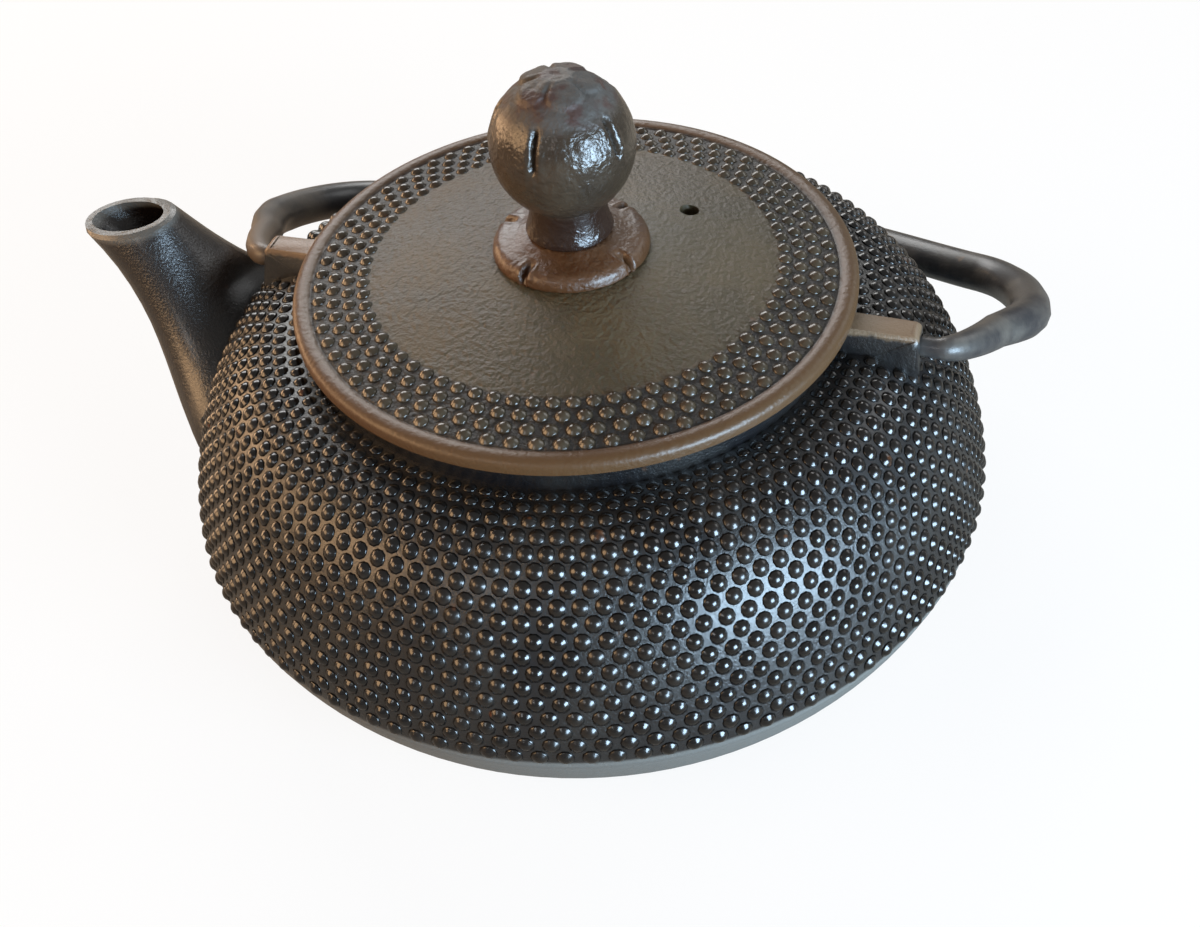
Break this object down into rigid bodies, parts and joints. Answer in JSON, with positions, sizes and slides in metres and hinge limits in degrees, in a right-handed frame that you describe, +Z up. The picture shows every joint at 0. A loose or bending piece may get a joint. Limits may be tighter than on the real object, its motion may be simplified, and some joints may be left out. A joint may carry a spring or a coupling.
{
  "type": "teapot",
  "caption": "Low round cast-iron teapot with hobnailed shoulder, wide flat lid with bud knob, short spout, swinging bail handle and lift-out strainer.",
  "frame": {"origin": "centre of the foot ring's lower face, on the pot's axis", "axes": "+Z up along the pot's axis, -X towards the spout, +X towards the opposite lug; the bail swings about an axis along X and rests on the +Y side"},
  "size_m": [0.1538, 0.1353, 0.0846],
  "materials": {
    "black_iron": "black semi-gloss lacquer over cast hobnails",
    "lid_iron": "dark grey-brown satin lacquer over fine cast grain",
    "brown_iron": "warm brown glossy lacquer",
    "steel": "stainless steel, satin"
  },
  "bodies": {
    "pot": {"pot_body": "black_iron"},
    "handle": {"bail": "black_iron"},
    "strainer": {"strainer_rim": "steel", "strainer_basket": "steel", "strainer_floor": "steel", "strainer_band": "steel"},
    "lid": {"lid": "lid_iron", "knob": "lid_iron", "knob_seat": "brown_iron", "knob_washer": "steel"}
  },
  "joints": [
    {"name": "bail_swing", "type": "hinge", "parent": "pot", "child": "handle", "pos_m": [0, 0, 0.047], "axis": [1, 0, 0], "range_deg": [0, 226]},
    {"name": "strainer_lift", "type": "slide", "parent": "pot", "child": "strainer", "axis": [0, 0, 1], "range_m": [0, 0.06]},
    {"name": "lid_lift", "type": "slide", "parent": "strainer", "child": "lid", "axis": [0, 0, 1], "range_m": [0, 0.05]}
  ]
}
